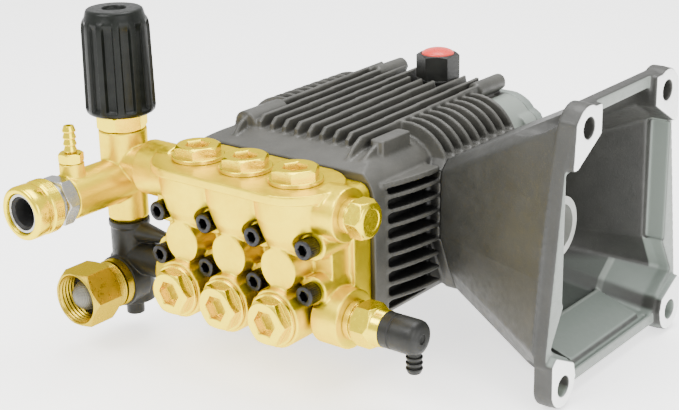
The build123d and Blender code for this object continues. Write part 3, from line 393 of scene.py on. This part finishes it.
PAINT = plain_casting("case paint", CASE_DARK, CASE_LIGHT)
CASE_PAINT = case_casting()
BELL_PAINT = bell_casting()
COVER_ALLOY = plain_casting("cover alloy", (0.12, 0.14, 0.125), (0.16, 0.185, 0.165), 0.42)
CAST_BRASS = cast_brass()
BRASS = turned_brass("turned brass", (0.89, 0.67, 0.0), (0.96, 0.765, 0.012), (0.55, 0.48, 0.0))
DULL_BRASS = turned_brass("dull brass", (0.46, 0.325, 0.018), (0.56, 0.41, 0.035), (0.20, 0.14, 0.005), 0.3)
BRONZE = worked_steel("bronze", (0.55, 0.34, 0.15), (0.66, 0.43, 0.20), 0.3)
BLACK_STEEL = worked_steel("black oxide steel", (0.022, 0.022, 0.024), (0.05, 0.05, 0.053), 0.34)
ZINC = zinc_plate()
STEEL = worked_steel("ground steel", (0.50, 0.50, 0.50), (0.60, 0.60, 0.60), 0.26)
SHAFT_STEEL = plain_steel("shaft steel", (0.42, 0.43, 0.40), (0.50, 0.51, 0.475))
STAINLESS = worked_steel("stainless steel", (0.60, 0.60, 0.58), (0.70, 0.69, 0.67), 0.2)
SPRING_STEEL = worked_steel("spring steel", (0.30, 0.30, 0.31), (0.40, 0.40, 0.41), 0.3)
ROD_ALLOY = plain_casting("rod alloy", (0.55, 0.56, 0.57), (0.64, 0.65, 0.66), 0.36)
MESH = woven_steel()
RUBBER = moulded("rubber", (0.012, 0.012, 0.012), (0.02, 0.02, 0.02), 0.6)
BLACK = moulded("black nylon", (0.0055, 0.0057, 0.0048), (0.012, 0.0122, 0.0102), 0.42)
KNOB_BLACK = moulded("knob nylon", (0.0036, 0.0044, 0.0034), (0.0068, 0.0080, 0.0064), 0.34, 0.000008, 0.17)
RED = moulded("red plastic", (0.62, 0.035, 0.025), (0.72, 0.06, 0.045), 0.28, 0.00001)
GLASS = clear_glass()

BY_SLOT = {
    "case_alloy": PAINT,
    "cover_alloy": COVER_ALLOY,
    "cast_brass": CAST_BRASS,
    "brass": BRASS,
    "bronze": BRONZE,
    "dark_steel": BLACK_STEEL,
    "zinc_steel": ZINC,
    "steel": STEEL,
    "stainless": STAINLESS,
    "spring_steel": SPRING_STEEL,
    "bearing_steel": STEEL,
    "rod_alloy": ROD_ALLOY,
    "rubber": RUBBER,
    "black_plastic": BLACK,
    "red_plastic": RED,
    "sight_glass": GLASS,
}
BY_NODE = {"inlet_nipple": DULL_BRASS, "coupler_balls": STAINLESS, "crankshaft": SHAFT_STEEL}
slot_of = {part["node"]: part["material_slot"] for part in frame["record"]["subparts"]}
body_of = {n: body for body, members in frame["record"]["behaviour"]["bodies"].items() for n in members}


# ---- Making pieces ----
def finish_piece(piece, node, material, soften=0.25, angle=28):
    """Material, softened edges, and the body that the piece takes from its CAD node."""
    piece.data.materials.clear()
    piece.data.materials.append(material)
    for polygon in piece.data.polygons:
        polygon.use_smooth = True
    if soften:
        edge = piece.modifiers.new("softened edges", "BEVEL")
        edge.width = soften * MM
        edge.segments = 2
        edge.limit_method = "ANGLE"
        edge.angle_limit = math.radians(angle)
        edge.harden_normals = True
    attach(piece, body_of[node])


def new_piece(name, mesh):
    """An object in the scene that shows the mesh."""
    piece = bpy.data.objects.new(name, mesh)
    bpy.context.scene.collection.objects.link(piece)
    return piece


def axes_for(direction):
    """A frame whose third axis is the direction, turned as the CAD's hexagons are."""
    third = Vector(direction)
    first = Vector((0, 1, 0)) if abs(third.x) > 0.5 else Vector((1, 0, 0))
    return first, third.cross(first), third


def spin(name, rows, origin, direction, segments=96, loop=False, turn=0.0):
    """A turned form. Each row is (distance along the axis, radius), in millimetres, and a radius may be
    a function of the angle and the distance, which gives hexagons, knurls and flutes."""
    first, second, third = axes_for(direction)
    turn = math.radians(turn)
    start = Vector(origin)
    form = bmesh.new()
    rings = []
    for distance, radius in rows:
        if radius == 0:
            rings.append([form.verts.new((start + third * distance) * MM)])
            continue
        ring = []
        for k in range(segments):
            angle = TAU * k / segments
            reach = radius(angle, distance) if callable(radius) else radius
            spoke = first * math.cos(angle + turn) + second * math.sin(angle + turn)
            ring.append(form.verts.new((start + third * distance + spoke * reach) * MM))
        rings.append(ring)
    pairs = list(zip(rings, rings[1:]))
    if loop:
        pairs.append((rings[-1], rings[0]))
    for low, high in pairs:
        count = max(len(low), len(high))
        for k in range(count):
            corners = [low[k % len(low)], low[(k + 1) % len(low)]]
            corners += [high[(k + 1) % len(high)], high[k % len(high)]]
            unique = [v for i, v in enumerate(corners) if v not in corners[:i]]
            if len(unique) > 2:
                form.faces.new(unique)
    bmesh.ops.recalc_face_normals(form, faces=form.faces)
    mesh = bpy.data.meshes.new(name)
    form.to_mesh(mesh)
    form.free()
    return new_piece(name, mesh)


def hexagon(across_flats, limit=1000.0):
    """Radius of a hexagon at an angle, cut off at a limit for a chamfered corner."""

    def reach(angle, distance):
        flat = across_flats / 2 / math.cos((angle % (math.pi / 3)) - math.pi / 6)
        return min(flat, limit)
    return reach


def hex_rows(across_flats, start, end, chamfer, both=False):
    """Rows up the outside of a hexagon whose far corners, and near ones if asked, are chamfered."""
    corner = across_flats / 2 / math.cos(math.pi / 6)
    bite = corner - across_flats / 2 + 0.3
    steps = 5
    far = []
    for k in range(steps + 1):
        share = k / steps
        limit = corner - share * bite
        far.append((end - chamfer * (1 - share), hexagon(across_flats, limit)))
    near = [(start, hexagon(across_flats))]
    if both:
        near = [(start + (end - at), reach) for at, reach in reversed(far)]
    return near + far


def soft_cast(node, name, voxel, rounds, material):
    """A CAD casting with its corners rounded as a real casting's are, inside and out. voxel is the
    grain of its new skin in millimetres, and rounds is how often that skin is smoothed."""
    mesh = nodes[node].data.copy()
    form = bmesh.new()
    form.from_mesh(mesh)
    bmesh.ops.remove_doubles(form, verts=form.verts, dist=WELD)
    form.to_mesh(mesh)
    form.free()
    source = new_piece(name + " source", mesh)
    remesh = source.modifiers.new("skin", "REMESH")
    remesh.mode = "VOXEL"
    remesh.voxel_size = voxel * MM
    remesh.use_smooth_shade = True
    smooth = source.modifiers.new("rounding", "SMOOTH")
    smooth.factor = 0.5
    smooth.iterations = rounds
    graph = bpy.context.evaluated_depsgraph_get()
    rounded = bpy.data.meshes.new_from_object(source.evaluated_get(graph))
    rounded.name = name
    bpy.data.objects.remove(source)
    piece = new_piece(name, rounded)
    finish_piece(piece, node, material, soften=0)
    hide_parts(node)


def joined(pieces, name):
    """Several meshes made one piece."""
    form = bmesh.new()
    for piece in pieces:
        form.from_mesh(piece.data)
        bpy.data.objects.remove(piece)
    mesh = bpy.data.meshes.new(name)
    form.to_mesh(mesh)
    form.free()
    return new_piece(name, mesh)


# ---- CAD nodes that keep their own shape ----
for node, piece in nodes.items():
    piece.data.materials.clear()
    piece.data.materials.append(BY_NODE.get(node, BY_SLOT[slot_of[node]]))

# ---- Castings ----
soft_cast("crankcase", "crankcase_casting", 0.75, 3, CASE_PAINT)
soft_cast("bell_housing", "bell_casting", 0.8, 4, BELL_PAINT)
soft_cast("rear_cover", "rear_cover_casting", 0.8, 3, COVER_ALLOY)
soft_cast("manifold", "manifold_casting", 0.6, 4, CAST_BRASS)
soft_cast("unloader_body", "unloader_casting", 0.45, 5, CAST_BRASS)
soft_cast("inlet_tee", "inlet_tee_moulding", 0.45, 4, BLACK)

# ---- Valve caps ----
cap_pieces = []
for x in CYLINDER_X:
    outlet = ((x, VALVE_Y, DECK_Z), UP, 6.0)
    inlet = ((x, BOSS_Y, INLET_Z), FRONT, 4.0)
    for origin, direction, skirt in (outlet, inlet):
        sides = hex_rows(22.0, 2.3, 7.8, 1.3)
        rows = [(-skirt, 8.4), (-skirt, 10.3), (0, 10.3), (0, 13.7), (0.3, 14.0), (1.9, 14.0), (2.3, 13.6)]
        rows += sides + [(7.8, 10.2), (7.8, 7.6), (7.5, hexagon(12.3))]
        rows += [(7.1, hexagon(12.0)), (1.8, hexagon(12.0)), (1.2, 3.0), (1.2, 0)]
        cap_pieces.append(spin("cap", rows, origin, direction))
caps = joined(cap_pieces, "valve_cap_set")
finish_piece(caps, "valve_caps", BRASS, 0.2)
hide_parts("valve_caps")


# ---- Manifold screws: knurled heads with hexagon sockets ----
def knurl(radius, depth, teeth):
    """Straight knurling."""

    def reach(angle, distance):
        return radius - depth * abs(math.sin(teeth * angle / 2))
    return reach


grip = knurl(5.4, 0.28, 32)
rows = [(-12.0, 0), (-12.0, 3.0), (0, 3.0), (0, 5.2), (0.4, grip), (6.6, grip), (7.2, 5.25)]
rows += [(7.8, 4.9), (8.0, 4.3), (8.0, 3.1), (7.6, hexagon(5.1)), (7.4, hexagon(5.0))]
rows += [(3.4, hexagon(5.0)), (2.6, 0)]
screw_pieces = []
for x in SCREW_X:
    for z in SCREW_Z:
        screw_pieces.append(spin("screw", rows, (x, SCREW_SEAT_Y, z), FRONT))
screws = joined(screw_pieces, "manifold_screw_set")
finish_piece(screws, "head_screws", BLACK_STEEL, 0.12, 40)
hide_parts("head_screws")

# ---- Gallery plug and relief valve ----
sides = hex_rows(18.6, 4.6, 13.2, 2.0)
rows = [(-8, 0), (-8, 6.4), (-0.2, 6.4), (-0.2, 8.8), (0.3, 9.1), (3.6, 9.1), (4.0, 8.7), (4.6, 8.7)] + sides
rows += [(13.6, 8.3), (13.9, 7.0), (13.9, 6.0), (13.6, 5.6), (13.6, 0)]
plug = spin("gallery_plug_turned", rows, (PLUG_X, GALLERY_Y, OUTLET_Z), RIGHT)
finish_piece(plug, "gallery_plug", BRASS, 0.3)
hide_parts("gallery_plug")

sides = hex_rows(21.0, 4.4, 15.6, 1.8, both=True)
rows = [(-8, 2.2), (-8, 5.9), (0, 5.9), (0, 10.2), (0.4, 10.5), (3.2, 10.5), (3.6, 9.6), (4.4, 9.6)] + sides
rows += [(15.7, 9.9), (16.6, 9.6), (20.2, 9.5), (20.6, 9.35), (20.6, 9.25), (16.0, 9.25), (15.8, 2.2)]
relief = spin("relief_valve_turned", rows, (RELIEF_X, GALLERY_Y, INLET_Z), RIGHT, loop=True)
finish_piece(relief, "relief_body", BRASS, 0.25)
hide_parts("relief_body")

barrel = [(0.2, 2.0), (0.2, 9.0), (0.5, 9.2), (9.5, 9.2), (9.9, 8.7), (10.7, 8.7), (11.1, 9.2), (21.5, 9.2)]
barrel += [(23.2, 8.9), (24.4, 8.1), (25.2, 6.8), (25.5, 5.2), (25.5, 2.6), (24.6, 2.3), (24.3, 0)]
elbow_barrel = spin("barrel", barrel, (ELBOW_X, GALLERY_Y, INLET_Z), RIGHT)
rows = [(5.0, 0), (5.0, 3.4), (6.0, 3.4), (9.0, 3.4), (9.8, 3.3)]
for k in range(3):
    rows += [(9.8 + 3.0 * k + 0.15, 4.25), (9.8 + 3.0 * k + 0.75, 4.3), (9.8 + 3.0 * (k + 1), 3.3)]
rows += [(19.0, 3.0), (19.2, 2.6), (19.2, 1.9), (14.0, 1.8), (13.8, 0)]
elbow_barb = spin("barb", rows, (BARB_X, GALLERY_Y, INLET_Z), DOWN, 64)
elbow = joined([elbow_barrel, elbow_barb], "relief_elbow_moulding")
finish_piece(elbow, "relief_elbow", BLACK, 0.15)
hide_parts("relief_elbow")

# ---- Unloader: lock nut, knob and injector ----
sides = hex_rows(24.5, 0.0, 9.5, 1.4, both=True)
rows = sides + [(9.5, 11.2), (9.6, 11.0)]
for k in range(20):
    rows += [(10.2 + 1.7 * k, 11.0), (11.0 + 1.7 * k, 10.35)]
rows += [(44.0, 10.4), (44.0, 9.4), (0, 9.4)]
nut = spin("lock_nut_turned", rows, (COLUMN_X, GALLERY_Y, LOCK_NUT_Z), UP, loop=True)
finish_piece(nut, "unloader_nut", BRASS, 0.2)
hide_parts("unloader_nut")


RIB_COUNT = 12
RIB_HALF_WIDTH = 5.0


def ribs(outer, depth):
    """Narrow raised ribs with broad shallow valleys between them. Their width is in degrees."""

    def reach(angle, distance):
        pitch = 360 / RIB_COUNT
        away = abs((math.degrees(angle) + pitch / 2) % pitch - pitch / 2)
        share = min(max((away - RIB_HALF_WIDTH) / (0.55 * RIB_HALF_WIDTH), 0.0), 1.0)
        return outer - depth * share * share * (3 - 2 * share)
    return reach


rows = [(31.5, 0), (31.5, 5.0), (38.5, 5.0), (38.5, 11.2), (5.5, 11.2), (5.5, 15.2), (0.2, 15.2)]
rows += [(0.0, 15.6), (0.0, 17.2), (0.4, 17.9), (1.2, 18.6), (2.6, 18.9)]
rows += [(3.2, ribs(18.95, 0.5)), (4.0, ribs(18.95, 1.9))]
for k in range(13):
    rows.append((4.8 + 3.4 * k, ribs(18.93 - 0.055 * k, 2.1)))
rows += [(47.0, ribs(18.15, 1.9)), (48.6, ribs(18.0, 1.3)), (50.0, ribs(17.6, 0.6))]
rows += [(51.2, 17.0), (52.2, 16.3), (55.0, 15.6), (56.1, 15.1), (56.65, 14.3), (56.7, 13.4)]
rows += [(56.7, 6.8), (56.2, 6.4), (55.2, 6.2), (55.1, 0)]
knob = spin("knob_moulding", rows, (COLUMN_X, GALLERY_Y, KNOB_Z), UP, 288, turn=-43)
finish_piece(knob, "knob", KNOB_BLACK, 0.15, 50)
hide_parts("knob")

sides = hex_rows(12.0, 0.0, 5.6, 0.8, both=True)
rows = [(-7, 1.3), (-7, 2.9), (-0.1, 2.9)] + sides + [(5.6, 2.9), (5.8, 2.7)]
for k in range(4):
    rows += [(5.8 + 3.6 * k + 0.4, 3.5), (5.8 + 3.6 * k + 1.0, 3.6), (5.8 + 3.6 * (k + 1), 2.7)]
rows += [(20.3, 1.9), (20.3, 1.3)]
injector = spin("injector_barb_turned", rows, (COLUMN_X, INJECTOR_Y, INJECTOR_Z), UP, loop=True)
finish_piece(injector, "injector_barb", BRASS, 0.12)
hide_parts("injector_barb")


# ---- Coupler ----
def diamond(radius, depth, teeth, lean):
    """Crossed knurling."""

    def reach(angle, distance):
        one = abs(math.sin((teeth * angle + lean * distance) / 2))
        other = abs(math.sin((teeth * angle - lean * distance) / 2))
        return radius - depth * (1 - min(one, other))
    return reach


tube_end = (COLUMN_X, TUBE_END_Y, TUBE_Z)
sides = hex_rows(24.0, 0.0, 8.5, 1.3, both=True)
rows = [(-8, 4.0), (-8, 6.9), (-0.1, 6.9)] + sides + [(8.5, 10.8), (28.6, 10.8), (29.0, 10.4)]
rows += [(29.0, 9.1), (28.7, 8.9), (12.6, 8.9), (12.6, 7.0), (3.0, 7.0), (3.0, 4.0)]
coupler = spin("coupler_core_turned", rows, tube_end, FRONT, loop=True)
finish_piece(coupler, "coupler_body", ZINC, 0.2)
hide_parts("coupler_body")

rows = [(12.5, 10.95), (12.5, 14.2), (12.8, 14.6)]
for k in range(13):
    rows.append((13.1 + 0.4 * k, diamond(14.8, 0.5, 60, 5.2)))
rows += [(18.3, 14.6), (18.6, 14.2), (19.2, 13.9), (21.4, 13.9), (22.0, 14.3), (22.4, 14.5)]
rows += [(28.6, 14.5), (29.6, 14.2), (30.2, 13.5), (30.5, 12.7), (30.5, 11.5), (30.1, 11.0)]
rows.append((29.6, 10.95))
sleeve = spin("coupler_sleeve_turned", rows, tube_end, FRONT, 180, loop=True)
finish_piece(sleeve, "coupler_sleeve", BRASS, 0.15, 45)
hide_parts("coupler_sleeve")

rows = [(9.0, 5.2), (9.0, 6.95), (12.7, 6.95), (12.7, 8.85), (28.3, 8.85), (28.6, 8.6)]
rows += [(27.2, 7.5), (16.4, 7.4), (15.8, 5.2)]
seal = spin("coupler_seal", rows, tube_end, FRONT, 64, loop=True)
finish_piece(seal, "coupler_body", RUBBER, 0.15)
rows = [(6.0, 0), (6.0, 3.6), (13.0, 3.6), (14.4, 2.6), (14.8, 0)]
stem = spin("coupler_stem", rows, tube_end, FRONT, 48)
finish_piece(stem, "coupler_body", STAINLESS, 0.15)

# ---- Hose nut, strainer and hose washer ----
sides = hex_rows(30.0, 6.6, 26.9, 2.2, both=True)
rows = [(0.0, 10.7), (0.0, 12.6), (0.5, 13.2)]
for k in range(4):
    rows += [(0.9 + 1.5 * k, 13.4), (1.6 + 1.5 * k, 12.6)]
rows += sides + [(27.0, 14.5), (27.0, 14.2), (26.6, 13.7)]
for k in range(7):
    rows += [(25.8 - 2.2 * k, 13.5), (24.8 - 2.2 * k, 12.7)]
rows += [(10.4, 12.7), (7.8, 12.7), (7.8, 10.7)]
hose_nut = spin("hose_nut_turned", rows, (COLUMN_X, HOSE_NUT_Y, ARM_Z), FRONT, loop=True)
finish_piece(hose_nut, "swivel_nut", DULL_BRASS, 0.2)
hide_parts("swivel_nut")

nipple_end = (COLUMN_X, NIPPLE_Y, ARM_Z)
rows = [(16.0, 6.4), (16.0, 9.8), (16.3, 10.0), (18.3, 10.0), (18.6, 9.7), (18.6, 8.6), (19.0, 8.4)]
for k in range(13):
    tilt = math.pi / 2 * k / 12
    rows.append((22.6 + 8.4 * math.sin(tilt), 8.4 * math.cos(tilt) if k < 12 else 0))
strainer = spin("strainer_dome", rows, nipple_end, FRONT)
finish_piece(strainer, "inlet_filter", MESH, 0.1)
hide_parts("inlet_filter")
rows = [(16.2, 10.0), (18.9, 10.0), (19.4, 9.4), (19.4, 8.8), (20.4, 8.8), (20.8, 9.4)]
rows += [(20.8, 12.2), (20.2, 12.5), (16.6, 12.5), (16.2, 12.2)]
washer = spin("hose_washer", rows, nipple_end, FRONT, loop=True)
finish_piece(washer, "inlet_filter", RUBBER, 0.2)

# ---- Unloader spring: the CAD coil, copied with a mesh of its own ----
coil = new_piece("unloader_spring_coil", nodes["unloader_spring"].data.copy())
finish_piece(coil, "unloader_spring", SPRING_STEEL, soften=0)
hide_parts("unloader_spring")
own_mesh(coil)

# ---- Oil cap ----
sides = hex_rows(22.0, 1.8, 16.0, 1.0)
rows = [(-9, 0), (-9, 7.7), (-8.6, 7.9), (-0.1, 7.9), (0, 12.1), (0.3, 12.5), (1.5, 12.5)]
rows += [(1.8, 12.2)] + sides + [(16.0, 9.8), (15.7, 9.6), (14.5, 9.5), (14.5, 0)]
oil_cap = spin("oil_cap_moulding", rows, (CAP_X, CAP_Y, CAP_Z), UP, turn=30)
finish_piece(oil_cap, "oil_cap", BLACK, 0.2)
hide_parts("oil_cap")

rows = [(0, 0), (0, 9.4), (1.6, 9.4), (2.1, 9.2), (2.8, 8.4), (3.5, 6.8), (4.1, 4.6), (4.4, 2.4), (4.5, 0)]
cap_top = spin("oil_cap_button", rows, (CAP_X, CAP_Y, BUTTON_Z), UP, 72)
finish_piece(cap_top, "oil_cap_top", RED, 0.15)
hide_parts("oil_cap_top")

# ---- Softened edges on the machined CAD nodes that show ----
for node in ("side_cover", "bell_screws", "cover_screws", "inlet_nipple", "sight_glass"):
    edge = nodes[node].modifiers.new("softened edges", "BEVEL")
    edge.width = 0.3 * MM
    edge.segments = 2
    edge.limit_method = "ANGLE"
    edge.angle_limit = math.radians(40)

# ---- Floor, light and camera ----
FLOOR_REACH = 12.0
FLOOR_GAP = 0.0008
FLOOR_GLOW = 1.6
WORLD_LIGHT = 1.25
LENS = 78.4
ROLL = -1.3
VIEW_DIRECTION = (-0.5855, 0.7371, -0.3374)
VIEW_PLACE = (0.36325, -0.6447, 0.27746)

floor_z = cad_box[0][2] - FLOOR_GAP
corners = [(x * FLOOR_REACH, y * FLOOR_REACH, floor_z) for x, y in ((-1, -1), (1, -1), (1, 1), (-1, 1))]
floor_mesh = bpy.data.meshes.new("floor")
floor_mesh.from_pydata(corners, [], [(0, 1, 2, 3)])
floor = new_piece("studio_floor", floor_mesh)
pale = Surface("studio floor", roughness=0.8)
pale.colour(pale.mix(pale.noise(2, 2), (0.90, 0.90, 0.89), (0.93, 0.93, 0.92)))
pale.shader.inputs["Emission Color"].default_value = (1, 1, 1, 1)
pale.shader.inputs["Emission Strength"].default_value = FLOOR_GLOW
floor.data.materials.append(pale.done())

world = bpy.data.worlds.new("studio")
world.use_nodes = True
world.node_tree.nodes["Background"].inputs[0].default_value = (1.0, 1.0, 1.0, 1)
world.node_tree.nodes["Background"].inputs[1].default_value = WORLD_LIGHT
bpy.context.scene.world = world


def softbox(name, place, target, width, power):
    """A rectangular studio light, in metres and watts."""
    light = bpy.data.lights.new(name, "AREA")
    light.shape = "RECTANGLE"
    light.size = width
    light.size_y = width * 0.8
    light.energy = power
    lamp = bpy.data.objects.new(name, light)
    lamp.location = place
    lamp.rotation_euler = (Vector(target) - Vector(place)).to_track_quat("-Z", "Y").to_euler()
    bpy.context.scene.collection.objects.link(lamp)


centre = (-0.10, -0.04, 0.0)
softbox("key", (-0.35, -0.95, 1.05), centre, 0.7, 17)
softbox("fill", (1.0, -0.45, 0.45), centre, 0.9, 11)
softbox("top", (-0.1, 0.2, 1.2), centre, 1.0, 24)

camera = bpy.data.cameras.new("camera")
camera.sensor_width = 36
camera.lens = LENS
eye = bpy.data.objects.new("camera", camera)
roll = math.radians(ROLL)
forward = Vector(VIEW_DIRECTION).normalized()
level = forward.cross(Vector(UP)).normalized()
upright = level.cross(forward)
right = level * math.cos(roll) + upright * math.sin(roll)
up = upright * math.cos(roll) - level * math.sin(roll)
pose = Matrix((right, up, -forward)).transposed().to_4x4()
pose.translation = Vector(VIEW_PLACE)
eye.matrix_world = pose
bpy.context.scene.collection.objects.link(eye)
bpy.context.scene.camera = eye
